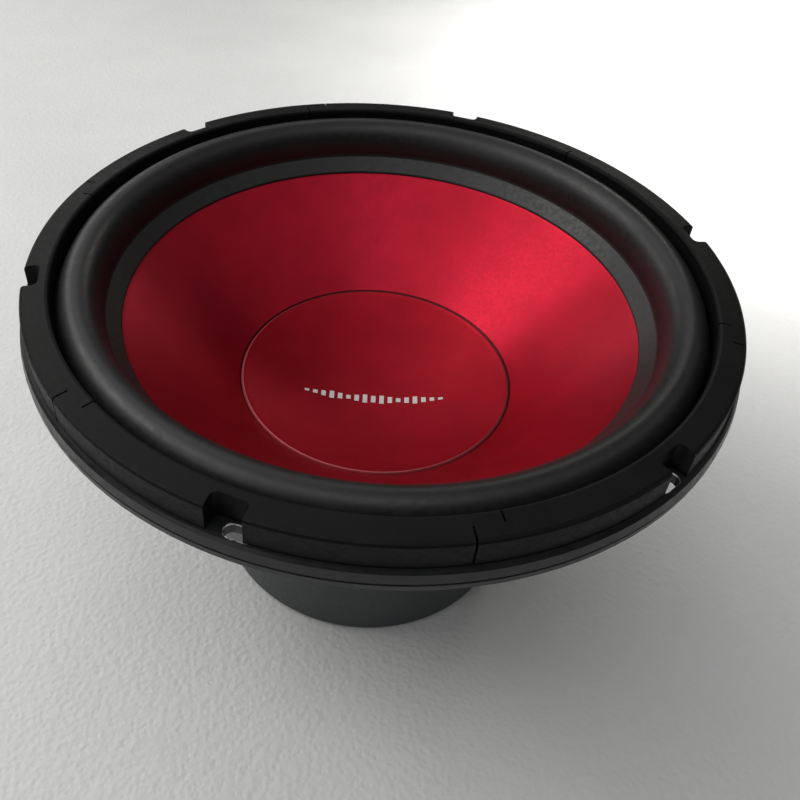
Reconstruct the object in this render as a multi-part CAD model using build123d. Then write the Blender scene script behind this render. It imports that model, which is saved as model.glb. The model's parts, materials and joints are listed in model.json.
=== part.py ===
from build123d import *
import math
import os

# A 12-inch car subwoofer standing on its magnet. Millimetres, +Z out of the cone.
# The origin is the centre of the boot's underside, so every height is above the table.

# Mounting face and rim
RIM_R = 157.7                # outside of the turned-down rim
FLANGE_FACE_Z = 164.0        # face that the gasket lies on
STEEL_T = 1.5                # sheet thickness of the basket
FLANGE_FLAT_R = 156.0
CUTOUT_BODY_R = 139.6        # widest part of the basket below the flange
RIM_DEPTH = 9.2

# Screw slots, evenly spaced around the rim
SLOT_COUNT = 6
SLOT_PITCH = 360.0 / SLOT_COUNT
SLOT_PHASE = 13.3            # azimuth of the first slot
SLOT_R = 151.9               # radius of the slot centres
SLOT_W = 6.2
SLOT_LENGTH = 12.0           # along the rim
SLOT_COLLAR_T = 0.7          # wall of the collar turned down around each slot
SLOT_COLLAR_BOTTOM_Z = 159.2
WINDOW_PHASE = SLOT_PHASE + SLOT_PITCH / 2

# Rubber gasket: six segments, laid by hand, so each notch and joint sits a little off the pitch
NOTCH_AZIMUTHS = (14.2, 73.9, 133.5, 191.9, 251.6, 313.7)
JOINT_AZIMUTHS = (46.4, 106.4, 164.4, 223.0, 284.2, 345.2)
GASKET_OUTER_R = 155.0
GASKET_INNER_R = 143.5
GASKET_SPLIT_R = 148.9       # where the lapped joint steps
GASKET_EDGE_Z = 176.0
GASKET_CROWN = 1.0           # the inner edge stands this much higher
GASKET_EDGE_ROUND = 1.4
GASKET_GAP_DEG = 0.3         # slit left open at each joint
GASKET_LAP_DEG = 2.1         # each half of the joint is stepped this far from its middle
NOTCH_W = 14.0
NOTCH_INNER_R = 147.8
NOTCH_ROUND = 2.5

# Surround: a tall half roll with a glued land
SURROUND_T = 1.3
SURROUND_LIP_R = 147.3
SURROUND_LIP_T = 1.2
ROLL_MID_R = 133.7
ROLL_HALF_W = 10.25
ROLL_H = 16.0
ROLL_BASE_Z = 160.0
ROLL_FOOT_Z = 159.3          # where the roll meets its land
LAND_INNER_R = 117.0
LAND_TOP_Z = 152.4
LAND_GLUE_GAP = 0.45         # glue line between the land and the cone, measured upright

# Cone
CONE_EDGE_R = 124.5
CONE_BEND_R = 117.0          # the wall turns steeper into the glued edge here
CONE_BEND_Z = 151.0
CONE_SLOPE = 0.88            # rise per millimetre of radius
CONE_EDGE_SLOPE = 1.053
CONE_T = 1.0
CONE_NECK_Z = 73.6

# Dished dust cap
CAP_EDGE_R = 66.3
CAP_CREST_R = 65.3
CAP_CREST_Z = 107.0
CAP_DEPTH = 15.0
CAP_T = 0.9

# Voice coil
FORMER_R = 31.0              # inside
FORMER_T = 0.5
FORMER_BOTTOM_Z = 34.5
FORMER_TOP_Z = 80.0
WINDING_T = 1.6
WINDING_LENGTH = 24.0
COLLAR_T = 0.35
COLLAR_BOTTOM_Z = 61.5
COLLAR_TOP_Z = 69.0

# Spider
SPIDER_Z = 71.0
SPIDER_T = 0.6
SPIDER_OUTER_R = 87.0
SPIDER_INNER_R = 31.9
SPIDER_COLLAR_R = 32.7
SPIDER_COLLAR_TOP_Z = 73.2
SPIDER_WAVE_INNER_R = 37.6
SPIDER_HALF_WAVE = 3.6
SPIDER_HALF_WAVES = 10
SPIDER_WAVE_HEIGHT = 2.0

# Motor
BOOT_R = 79.0
BOOT_TOP_R = 78.4
BOOT_WALL = 3.2
BOOT_FLOOR = 3.0
BOOT_TOP_Z = 50.0
BOOT_LIP_R = 73.3
BOOT_LIP_DEPTH = 3.0
BOOT_VENT_R = 22.0
BOOT_FOOT_ROUND = 2.5
PLATE_R = 73.0
BACK_PLATE_T = 9.0
TOP_PLATE_T = 9.0
MAGNET_R = 75.0
MAGNET_BORE_R = 42.0
MAGNET_T = 16.0
POLE_R = 30.0
POLE_STAND_OUT = 2.0
POLE_VENT_R = 11.0
GAP_R = 34.2
SHORTING_R = 38.0
SHORTING_H = 8.0
SHORTING_PLAY = 0.05
SCREEN_R = 14.0
SCREEN_T = 1.2

BACK_PLATE_TOP_Z = BOOT_FLOOR + BACK_PLATE_T
MAGNET_SPLIT_Z = BACK_PLATE_TOP_Z + MAGNET_T
TOP_PLATE_BOTTOM_Z = MAGNET_SPLIT_Z + MAGNET_T
TOP_PLATE_TOP_Z = TOP_PLATE_BOTTOM_Z + TOP_PLATE_T
WINDING_MID_Z = (TOP_PLATE_BOTTOM_Z + TOP_PLATE_TOP_Z) / 2

# Base of the basket and its screws
BASE_INNER_R = 58.0
BASE_OUTER_R = 71.5
LEDGE_INNER_R = 75.0
LEDGE_OUTER_R = 89.5
LEDGE_TOP_Z = 70.4
BASE_SCREW_COUNT = 6
BASE_SCREW_R = 65.0
BASE_SCREW_HEAD_R = 4.2
BASE_SCREW_HEAD_H = 2.2
BASE_SCREW_SHANK_R = 2.4
BASE_SCREW_DEPTH = 7.0
BASE_SCREW_CLEARANCE = 0.1
VENT_WINDOW_W = 22.0
VENT_WINDOW_H = 8.0
VENT_WINDOW_Z = 62.0
LEDGE_LIP_H = 4.0

# Windows in the side of the basket
WINDOW_HALF_DEG = 20.5
WINDOW_BOTTOM_Z = 71.4
WINDOW_TOP_Z = 146.0
WINDOW_ROUND = 7.0

# Terminal block, in its own frame: x outward, y along the rim, z up
TERMINAL_AZIMUTH = WINDOW_PHASE + SLOT_PITCH
TAB_OUTER_X = 107.0
TAB_HALF_W = 21.0
BLOCK_INNER_X = 90.2
BLOCK_OUTER_X = 106.0
BLOCK_HALF_W = 14.0
BLOCK_TOP_Z = 88.0
FOOT_HALF_W = 20.0
FOOT_T = 2.5
RIVET_Y = 17.0
RIVET_R = 1.6
RIVET_HEAD_R = 2.8
RIVET_HEAD_H = 1.1
BUTTON_Y = 7.0
BUTTON_W = 9.0
BUTTON_H = 7.0
BUTTON_Z = 80.5
BUTTON_INNER_X = 98.3
BUTTON_OUTER_X = 109.6
BUTTON_CLEARANCE = 0.4
POCKET_INNER_X = 92.0
SPRING_R = 2.2
SPRING_WIRE_R = 0.25
SPRING_TURNS = 4
SPRING_END_GAP = 0.35
WIRE_HOLE_R = 1.8
WIRE_HOLE_Z = 74.4
WIRE_HOLE_DEPTH = 11.0
TAG_INNER_X = 86.9
TAG_OUTER_X = 91.6
TAG_W = 5.0
TAG_T = 0.8
TAG_Z = 84.4
TAG_SLOT_PLAY = 0.05

# Tinsel leads and their eyelets, in the terminal block's frame
LEAD_R = 0.9
EYELET_X = 52.2
EYELET_SHANK_R = 1.5
EYELET_BORE_R = 0.6
EYELET_CLEARANCE = 0.02
EYELET_HEAD_R = 2.6
EYELET_HEAD_H = 0.7
EYELET_BELOW = 1.6
LEAD_ROUTE = [(86.9, 84.4), (80.5, 84.2), (73.5, 81.4), (66.0, 79.8), (58.6, 80.6), (53.6, 85.0)]
LEAD_ARC_SHARE = 0.45        # share of the shorter run that each bend may use
LEAD_END_GAP = 0.3


def turned(points):
    """A solid of revolution about Z from a closed outline of (radius, height) points."""
    outline = Polyline(*points, close=True)
    return revolve(Plane.XZ * make_face(outline), Axis.Z)


def ring(inner_r, outer_r, bottom_z, top_z):
    """A plain ring about Z."""
    return Pos(0, 0, bottom_z) * extrude(Circle(outer_r) - Circle(inner_r), top_z - bottom_z)


def upright_box(x_low, x_high, y_low, y_high, z_low, z_high):
    """A box given by its limits along each axis."""
    middle = Pos((x_low + x_high) / 2, (y_low + y_high) / 2, (z_low + z_high) / 2)
    return middle * Box(x_high - x_low, y_high - y_low, z_high - z_low)


def rim_places(count, phase):
    """Rotations about Z, evenly spaced from phase."""
    return [Rot(0, 0, phase + i * 360.0 / count) for i in range(count)]


def cone_front_z(radius):
    """Height of the cone's front face."""
    slope = CONE_SLOPE if radius <= CONE_BEND_R else CONE_EDGE_SLOPE
    return CONE_BEND_Z + slope * (radius - CONE_BEND_R)


def upright_thickness(thickness, slope):
    """Vertical thickness of a wall of a given slope."""
    return thickness * math.hypot(1.0, slope)


def basket_shell():
    """The stamping before its windows and holes: flange, side wall, spider ledge and base."""
    base_bottom = TOP_PLATE_TOP_Z
    face = FLANGE_FACE_Z
    inside = [
        (BASE_INNER_R, base_bottom + STEEL_T),
        (BASE_OUTER_R, base_bottom + STEEL_T),
        (LEDGE_INNER_R, LEDGE_TOP_Z),
        (LEDGE_OUTER_R, LEDGE_TOP_Z),
        (100.2, 80.2),
        (122.0, 111.8),
        (135.6, 145.0),
        (CUTOUT_BODY_R - STEEL_T, face - 1.4),
        (CUTOUT_BODY_R + 0.2, face),
    ]
    rim = [
        (FLANGE_FLAT_R, face),
        (RIM_R - 0.7, face - 1.1),
        (RIM_R, face - 5.0),
        (RIM_R - 0.7, face - 5.6),
        (RIM_R - 0.2, face - 6.4),
        (RIM_R - 0.2, face - RIM_DEPTH + 0.5),
        (RIM_R - 0.8, face - RIM_DEPTH),
        (FLANGE_FLAT_R, face - RIM_DEPTH),
        (FLANGE_FLAT_R - 0.2, face - STEEL_T - 0.9),
        (FLANGE_FLAT_R - 1.2, face - STEEL_T),
    ]
    outside = [
        (CUTOUT_BODY_R + 1.2, face - STEEL_T),
        (CUTOUT_BODY_R, face - STEEL_T - 1.4),
        (137.2, 144.6),
        (123.3, 110.8),
        (101.2, 79.0),
        (LEDGE_OUTER_R + 0.6, LEDGE_TOP_Z - STEEL_T),
        (LEDGE_INNER_R + 1.2, LEDGE_TOP_Z - STEEL_T),
        (BASE_OUTER_R + 1.2, base_bottom),
        (BASE_INNER_R, base_bottom),
    ]
    return turned(inside + rim + outside)


def window_cutter():
    """A wedge with rounded corners that opens one side window, pointing along +X."""
    near = LEDGE_OUTER_R
    far = RIM_R - 2.0
    half = math.radians(WINDOW_HALF_DEG)
    wedge = Polyline(
        (near * math.cos(half), -near * math.sin(half)),
        (far * math.cos(half), -far * math.sin(half)),
        (far * math.cos(half), far * math.sin(half)),
        (near * math.cos(half), near * math.sin(half)),
        close=True,
    )
    height = WINDOW_TOP_Z - WINDOW_BOTTOM_Z
    prism = Pos(0, 0, WINDOW_BOTTOM_Z) * extrude(make_face(wedge), height)
    rails = prism.edges().filter_by(Axis.Z, reverse=True).filter_by(Axis.Y, reverse=True)
    return fillet(rails, WINDOW_ROUND)


def terminal_tab():
    """The lug of the spider ledge that carries the terminal block."""
    bottom = LEDGE_TOP_Z - STEEL_T
    return upright_box(LEDGE_OUTER_R - 2.0, TAB_OUTER_X, -TAB_HALF_W, TAB_HALF_W, bottom, LEDGE_TOP_Z)


def above_tab():
    """The part of the ledge's raised lip that is left out where the terminal block stands."""
    top = LEDGE_TOP_Z + LEDGE_LIP_H
    return upright_box(LEDGE_OUTER_R - 1.0, TAB_OUTER_X, -TAB_HALF_W, TAB_HALF_W, LEDGE_TOP_Z, top)


def slot_column(spread, bottom_z, top_z):
    """A column with the outline of the first screw slot, widened by spread."""
    outline = SlotOverall(SLOT_LENGTH + 2 * spread, SLOT_W + 2 * spread, rotation=90)
    return Pos(SLOT_R, 0, bottom_z) * extrude(outline, top_z - bottom_z)


def make_basket():
    """The stamped and painted steel basket."""
    basket = basket_shell()
    for place in rim_places(SLOT_COUNT, WINDOW_PHASE):
        basket -= place * window_cutter()
        vent = Pos(LEDGE_INNER_R, 0, VENT_WINDOW_Z) * Plane.YZ
        basket -= place * (vent * extrude(SlotOverall(VENT_WINDOW_W, VENT_WINDOW_H), 14.0, both=True))
    basket -= Rot(0, 0, TERMINAL_AZIMUTH) * above_tab()
    basket += Rot(0, 0, TERMINAL_AZIMUTH) * terminal_tab()
    collar = slot_column(SLOT_COLLAR_T, SLOT_COLLAR_BOTTOM_Z, FLANGE_FACE_Z - STEEL_T / 2)
    slot = slot_column(0.0, SLOT_COLLAR_BOTTOM_Z - 1.0, FLANGE_FACE_Z + 1.0)
    for place in rim_places(SLOT_COUNT, SLOT_PHASE):
        basket += place * collar
        basket -= place * slot
    hole_r = BASE_SCREW_SHANK_R + BASE_SCREW_CLEARANCE
    screw_hole = Pos(BASE_SCREW_R, 0, TOP_PLATE_TOP_Z) * Cylinder(hole_r, 4 * STEEL_T)
    for place in rim_places(BASE_SCREW_COUNT, WINDOW_PHASE):
        basket -= place * screw_hole
    rivet_hole = Cylinder(RIVET_R, 4 * STEEL_T)
    for side in (-1, 1):
        spot = Pos((BLOCK_INNER_X + BLOCK_OUTER_X) / 2, side * RIVET_Y, LEDGE_TOP_Z)
        basket -= Rot(0, 0, TERMINAL_AZIMUTH) * (spot * rivet_hole)
    return basket


def gasket_top_z(radius):
    """Height of the gasket's top face, which rises slightly towards the cone."""
    share = (GASKET_OUTER_R - radius) / (GASKET_OUTER_R - GASKET_INNER_R)
    return GASKET_EDGE_Z + GASKET_CROWN * share


def gasket_inner_outline():
    """Section of the inner half, stepped over the surround's lip."""
    soft = GASKET_EDGE_ROUND
    edge = GASKET_INNER_R
    lip_top = FLANGE_FACE_Z + SURROUND_LIP_T
    return [
        (edge, lip_top),
        (SURROUND_LIP_R, lip_top),
        (SURROUND_LIP_R, FLANGE_FACE_Z),
        (GASKET_SPLIT_R, FLANGE_FACE_Z),
        (GASKET_SPLIT_R, gasket_top_z(GASKET_SPLIT_R)),
        (edge + soft, gasket_top_z(edge + soft)),
        (edge + soft / 3, gasket_top_z(edge) - soft / 3),
        (edge, gasket_top_z(edge) - soft),
    ]


def gasket_outer_outline():
    """Section of the outer half."""
    soft = GASKET_EDGE_ROUND
    edge = GASKET_OUTER_R
    return [
        (GASKET_SPLIT_R, FLANGE_FACE_Z),
        (edge, FLANGE_FACE_Z),
        (edge, gasket_top_z(edge) - soft),
        (edge - soft / 3, gasket_top_z(edge) - soft / 3),
        (edge - soft, gasket_top_z(edge - soft)),
        (GASKET_SPLIT_R, gasket_top_z(GASKET_SPLIT_R)),
    ]


def make_gasket_segment(index):
    """One rubber segment with its screw notch and stepped ends."""
    start = JOINT_AZIMUTHS[index - 1] + GASKET_GAP_DEG / 2
    end = JOINT_AZIMUTHS[index] - GASKET_GAP_DEG / 2
    arc = (end - start) % 360.0
    reach = 2 * (GASKET_OUTER_R + 5.0 - NOTCH_INNER_R)
    notch = extrude(RectangleRounded(reach, NOTCH_W, NOTCH_ROUND), GASKET_EDGE_Z + 5.0 - FLANGE_FACE_Z)
    notch = Rot(0, 0, NOTCH_AZIMUTHS[index]) * (Pos(NOTCH_INNER_R + reach / 2, 0, FLANGE_FACE_Z) * notch)
    halves = []
    steps = ((gasket_inner_outline(), GASKET_LAP_DEG), (gasket_outer_outline(), -GASKET_LAP_DEG))
    for outline, lap in steps:
        section = Plane.XZ * make_face(Polyline(*outline, close=True))
        halves.append(Rot(0, 0, start + lap) * revolve(section, Axis.Z, arc) - notch)
    return halves[0] + halves[1]


def roll_arc(half_w, height, outer_z):
    """Part of an ellipse across the roll, from outer_z on its outer side to its inner foot."""
    start = math.degrees(math.asin((outer_z - ROLL_BASE_Z) / height))
    centre = (ROLL_MID_R, ROLL_BASE_Z)
    return EllipticalCenterArc(centre, half_w, height, start_angle=start, arc_size=180.0 - start)


def make_surround():
    """The rubber half roll, its outer lip under the gasket and its land on the cone."""
    lip_top = FLANGE_FACE_Z + SURROUND_LIP_T
    inner_half_w = ROLL_HALF_W - SURROUND_T
    over = roll_arc(ROLL_HALF_W, ROLL_H, lip_top)
    under = roll_arc(inner_half_w, ROLL_H - SURROUND_T, FLANGE_FACE_Z)
    under_inner = CONE_BEND_Z + LAND_GLUE_GAP
    foot_r = ROLL_MID_R - inner_half_w
    under_outer = under_inner + CONE_EDGE_SLOPE * (foot_r - CONE_BEND_R)
    land = Polyline(
        over @ 1,
        (ROLL_MID_R - ROLL_HALF_W, ROLL_FOOT_Z),
        (LAND_INNER_R, LAND_TOP_Z),
        (LAND_INNER_R, under_inner),
        (foot_r, under_outer),
        under @ 1,
    )
    lip = Polyline(under @ 0, (SURROUND_LIP_R, FLANGE_FACE_Z), (SURROUND_LIP_R, lip_top), over @ 0)
    return revolve(Plane.XZ * make_face(over + land + under + lip), Axis.Z)


def make_cone():
    """The straight-sided cone with its steeper glued edge and its short neck."""
    wall = upright_thickness(CONE_T, CONE_SLOPE)
    edge_wall = upright_thickness(CONE_T, CONE_EDGE_SLOPE)
    neck_r = FORMER_R + FORMER_T
    outline = [
        (neck_r, CONE_NECK_Z),
        (neck_r + CONE_T, CONE_NECK_Z),
        (neck_r + CONE_T, cone_front_z(neck_r + CONE_T) - wall),
        (CONE_BEND_R + 0.1, cone_front_z(CONE_BEND_R) - wall + 0.1),
        (CONE_EDGE_R, cone_front_z(CONE_EDGE_R) - edge_wall),
        (CONE_EDGE_R, cone_front_z(CONE_EDGE_R)),
        (CONE_BEND_R, CONE_BEND_Z),
        (neck_r, cone_front_z(neck_r)),
    ]
    cone = turned(outline)
    for side in (-1, 1):
        place = Rot(0, 0, TERMINAL_AZIMUTH) * Pos(EYELET_X, side * BUTTON_Y, eyelet_bottom_z())
        cone -= place * extrude(Circle(EYELET_SHANK_R + EYELET_CLEARANCE), 20.0)
    return cone


def bowl_arc(rim_r, rim_z, low_z):
    """A dish's section from its rim to its lowest point on the axis."""
    depth = rim_z - low_z
    sphere_r = (rim_r ** 2 + depth ** 2) / (2 * depth)
    middle_r = rim_r / 2
    middle_z = low_z + sphere_r - math.sqrt(sphere_r ** 2 - middle_r ** 2)
    return ThreePointArc((rim_r, rim_z), (middle_r, middle_z), (0, low_z))


def make_dust_cap():
    """The dished cap: a rolled edge that sits on the cone, then a shallow bowl."""
    seat_gap = 0.05
    edge_z = cone_front_z(CAP_EDGE_R) + seat_gap
    under_r = CAP_CREST_R - 0.6
    under_z = cone_front_z(under_r) + seat_gap
    low = CAP_CREST_Z - CAP_DEPTH
    shoulder = (CAP_EDGE_R - 0.25, CAP_CREST_Z - 0.15)
    lip = ThreePointArc((CAP_EDGE_R, edge_z), shoulder, (CAP_CREST_R, CAP_CREST_Z))
    bowl = bowl_arc(CAP_CREST_R, CAP_CREST_Z, low)
    under = bowl_arc(under_r, under_z, low - CAP_T)
    middle = Line((0, low), (0, low - CAP_T))
    seat = Line((under_r, under_z), (CAP_EDGE_R, edge_z))
    return revolve(Plane.XZ * make_face(lip + bowl + middle + under + seat), Axis.Z)


def make_spider():
    """The corrugated cloth disc that centres the coil."""
    def wave(height):
        parts = []
        for i in range(SPIDER_HALF_WAVES):
            start = SPIDER_WAVE_INNER_R + i * SPIDER_HALF_WAVE
            swing = SPIDER_WAVE_HEIGHT if i % 2 == 0 else -SPIDER_WAVE_HEIGHT
            middle = (start + SPIDER_HALF_WAVE / 2, height + swing)
            parts.append(ThreePointArc((start, height), middle, (start + SPIDER_HALF_WAVE, height)))
        return parts

    top = SPIDER_Z
    bottom = SPIDER_Z - SPIDER_T
    wave_outer_r = SPIDER_WAVE_INNER_R + SPIDER_HALF_WAVES * SPIDER_HALF_WAVE
    collar = Polyline(
        (SPIDER_WAVE_INNER_R, top),
        (SPIDER_COLLAR_R, top),
        (SPIDER_COLLAR_R, SPIDER_COLLAR_TOP_Z),
        (SPIDER_INNER_R, SPIDER_COLLAR_TOP_Z),
        (SPIDER_INNER_R, bottom),
        (SPIDER_WAVE_INNER_R, bottom),
    )
    land = Polyline(
        (wave_outer_r, bottom),
        (SPIDER_OUTER_R, bottom),
        (SPIDER_OUTER_R, top),
        (wave_outer_r, top),
    )
    outline = wave(top) + wave(bottom) + collar.edges() + land.edges()
    return revolve(Plane.XZ * make_face(outline), Axis.Z)


def make_yoke():
    """The back plate and vented pole, turned from one piece."""
    pole_top = TOP_PLATE_TOP_Z + POLE_STAND_OUT
    chamfer_size = 1.5
    return turned([
        (SCREEN_R, BOOT_FLOOR),
        (PLATE_R - chamfer_size, BOOT_FLOOR),
        (PLATE_R, BOOT_FLOOR + chamfer_size),
        (PLATE_R, BACK_PLATE_TOP_Z),
        (POLE_R, BACK_PLATE_TOP_Z),
        (POLE_R, pole_top - chamfer_size),
        (POLE_R - chamfer_size, pole_top),
        (POLE_VENT_R + chamfer_size, pole_top),
        (POLE_VENT_R, pole_top - chamfer_size),
        (POLE_VENT_R, BOOT_FLOOR + SCREEN_T),
        (SCREEN_R, BOOT_FLOOR + SCREEN_T),
    ])


def make_top_plate():
    """The front plate of the motor, drilled for the basket's screws."""
    plate = ring(GAP_R, PLATE_R, TOP_PLATE_BOTTOM_Z, TOP_PLATE_TOP_Z)
    for place in rim_places(BASE_SCREW_COUNT, WINDOW_PHASE):
        hole = Pos(BASE_SCREW_R, 0, TOP_PLATE_TOP_Z)
        hole = hole * Cylinder(BASE_SCREW_SHANK_R + BASE_SCREW_CLEARANCE, 2 * BASE_SCREW_DEPTH)
        plate -= place * hole
    return plate


def make_boot():
    """The rubber boot that covers the magnets."""
    soft = BOOT_FOOT_ROUND
    return turned([
        (BOOT_VENT_R, 0),
        (BOOT_R - soft, 0),
        (BOOT_R - soft * 0.3, soft * 0.3),
        (BOOT_R, soft),
        (BOOT_TOP_R, BOOT_TOP_Z - 1.0),
        (BOOT_TOP_R - 1.0, BOOT_TOP_Z),
        (BOOT_LIP_R, BOOT_TOP_Z),
        (BOOT_LIP_R, BOOT_TOP_Z - BOOT_LIP_DEPTH),
        (BOOT_R - BOOT_WALL, BOOT_TOP_Z - BOOT_LIP_DEPTH),
        (BOOT_R - BOOT_WALL, BOOT_FLOOR),
        (BOOT_VENT_R, BOOT_FLOOR),
    ])


def make_vent_screen():
    """A perforated disc across the rear mouth of the pole vent."""
    screen = Pos(0, 0, BOOT_FLOOR) * extrude(Circle(SCREEN_R - 0.05), SCREEN_T)
    pitch = 3.2
    holes = HexLocations(pitch / math.sqrt(3), 7, 7)
    hole_r = 1.1
    places = [place for place in holes if place.position.length < SCREEN_R - 2 * hole_r]
    drill = Sketch() + [place * Circle(hole_r) for place in places]
    return screen - Pos(0, 0, BOOT_FLOOR) * extrude(drill, 2 * SCREEN_T, both=True)


def make_base_screws():
    """The screws that hold the basket down on the top plate."""
    seat = TOP_PLATE_TOP_Z + STEEL_T
    screws = []
    for place in rim_places(BASE_SCREW_COUNT, WINDOW_PHASE):
        head = Pos(0, 0, seat) * extrude(Circle(BASE_SCREW_HEAD_R), BASE_SCREW_HEAD_H)
        head = fillet(head.edges().group_by(Axis.Z)[-1], 1.2)
        socket = Pos(0, 0, seat + BASE_SCREW_HEAD_H - 1.2) * extrude(RegularPolygon(1.7, 6), 2.0)
        shank = Pos(0, 0, seat) * extrude(Circle(BASE_SCREW_SHANK_R), -BASE_SCREW_DEPTH)
        screws.append(place * (Pos(BASE_SCREW_R, 0, 0) * (head + shank - socket)))
    return Compound(children=screws)


def make_terminal_block():
    """The moulded push-terminal body with its two pockets, wire entries and feet."""
    block = upright_box(BLOCK_INNER_X, BLOCK_OUTER_X, -BLOCK_HALF_W, BLOCK_HALF_W, LEDGE_TOP_Z, BLOCK_TOP_Z)
    block = fillet(block.edges().filter_by(Axis.Z), 1.0)
    block += upright_box(
        BLOCK_INNER_X, BLOCK_OUTER_X, -FOOT_HALF_W, FOOT_HALF_W, LEDGE_TOP_Z, LEDGE_TOP_Z + FOOT_T
    )
    for side in (-1, 1):
        y = side * BUTTON_Y
        half_w = BUTTON_W / 2 + BUTTON_CLEARANCE
        half_h = BUTTON_H / 2 + BUTTON_CLEARANCE
        block -= upright_box(
            POCKET_INNER_X, BLOCK_OUTER_X + 1, y - half_w, y + half_w, BUTTON_Z - half_h, BUTTON_Z + half_h
        )
        entry = Pos(BLOCK_OUTER_X, y, WIRE_HOLE_Z) * Rot(0, 90, 0)
        block -= entry * Cylinder(WIRE_HOLE_R, 2 * WIRE_HOLE_DEPTH)
        play = TAG_SLOT_PLAY
        block -= upright_box(
            BLOCK_INNER_X - 1, TAG_OUTER_X + play, y - TAG_W / 2 - play, y + TAG_W / 2 + play,
            TAG_Z - TAG_T / 2 - play, TAG_Z + TAG_T / 2 + play,
        )
        rivet_hole = Pos((BLOCK_INNER_X + BLOCK_OUTER_X) / 2, side * RIVET_Y, LEDGE_TOP_Z)
        block -= rivet_hole * Cylinder(RIVET_R, 4 * FOOT_T)
    return block


def make_terminal_button(side):
    """One push button; its stem fills the pocket and its head stands out of the block."""
    y = side * BUTTON_Y
    button = upright_box(
        BUTTON_INNER_X, BUTTON_OUTER_X, y - BUTTON_W / 2, y + BUTTON_W / 2,
        BUTTON_Z - BUTTON_H / 2, BUTTON_Z + BUTTON_H / 2,
    )
    return fillet(button.faces().sort_by(Axis.X)[-1].edges(), 1.0)


def make_terminal_spring(side):
    """The coil spring behind one button."""
    start = POCKET_INNER_X + SPRING_END_GAP
    length = BUTTON_INNER_X - SPRING_END_GAP - start
    centre = (start, side * BUTTON_Y, BUTTON_Z)
    coil = Helix(length / SPRING_TURNS, length, SPRING_R, direction=(1, 0, 0), center=centre)
    section = Plane(origin=coil @ 0, z_dir=coil % 0) * Circle(SPRING_WIRE_R)
    return sweep(section, path=coil, is_frenet=True)


def make_terminal_contact(side):
    """The brass tag that a lead is soldered to."""
    y = side * BUTTON_Y
    half_w = TAG_W / 2
    half_t = TAG_T / 2
    tag = upright_box(TAG_INNER_X, TAG_OUTER_X, y - half_w, y + half_w, TAG_Z - half_t, TAG_Z + half_t)
    return tag - Pos(TAG_INNER_X + 1.8, y, TAG_Z) * Cylinder(0.9, 4 * TAG_T)


def make_terminal_rivets():
    """Two rivets through the block's feet and the basket's tab."""
    foot_top = LEDGE_TOP_Z + FOOT_T
    tab_bottom = LEDGE_TOP_Z - STEEL_T
    middle_x = (BLOCK_INNER_X + BLOCK_OUTER_X) / 2
    rivets = []
    for side in (-1, 1):
        shank = Pos(0, 0, tab_bottom) * extrude(Circle(RIVET_R), foot_top - tab_bottom)
        upper = Pos(0, 0, foot_top) * extrude(Circle(RIVET_HEAD_R), RIVET_HEAD_H)
        upper = fillet(upper.edges().group_by(Axis.Z)[-1], 0.8)
        lower = Pos(0, 0, tab_bottom) * extrude(Circle(RIVET_HEAD_R), -RIVET_HEAD_H)
        rivets.append(Pos(middle_x, side * RIVET_Y, 0) * (shank + upper + lower))
    return Compound(children=rivets)


def eyelet_bottom_z():
    """Height of the eyelets' lower end, where the leads arrive."""
    return cone_front_z(EYELET_X) - upright_thickness(CONE_T, CONE_SLOPE) - EYELET_BELOW


def corner_radius(before, corner, after):
    """The largest arc that the two runs at a corner allow."""
    first = Vector(*corner) - Vector(*before)
    second = Vector(*after) - Vector(*corner)
    half_turn = math.radians(first.get_angle(second)) / 2
    return LEAD_ARC_SHARE * min(first.length, second.length) / math.tan(half_turn)


def make_tinsel_lead(side):
    """A braided lead from its tag to the underside of its eyelet."""
    end = (EYELET_X, eyelet_bottom_z() - LEAD_END_GAP)
    points = [(x, side * BUTTON_Y, z) for x, z in LEAD_ROUTE + [end]]
    radii = [corner_radius(*points[i:i + 3]) for i in range(len(points) - 2)]
    route = FilletPolyline(*points, radius=radii)
    section = Plane(origin=route @ 0, z_dir=route % 0) * Circle(LEAD_R)
    return sweep(section, path=route)


def make_eyelets():
    """The two hollow rivets that carry the leads through the cone."""
    bottom = eyelet_bottom_z()
    eyelets = []
    for side in (-1, 1):
        radius = math.hypot(EYELET_X, BUTTON_Y)
        head_z = cone_front_z(radius + EYELET_HEAD_R) + EYELET_CLEARANCE
        length = head_z - bottom
        shank = Pos(0, 0, bottom) * extrude(Circle(EYELET_SHANK_R), length)
        head = Pos(0, 0, head_z) * extrude(Circle(EYELET_HEAD_R), EYELET_HEAD_H)
        bore = Pos(0, 0, bottom) * Cylinder(EYELET_BORE_R, 3 * length)
        eyelets.append(Pos(EYELET_X, side * BUTTON_Y, 0) * (shank + head - bore))
    return Compound(children=eyelets)


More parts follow.
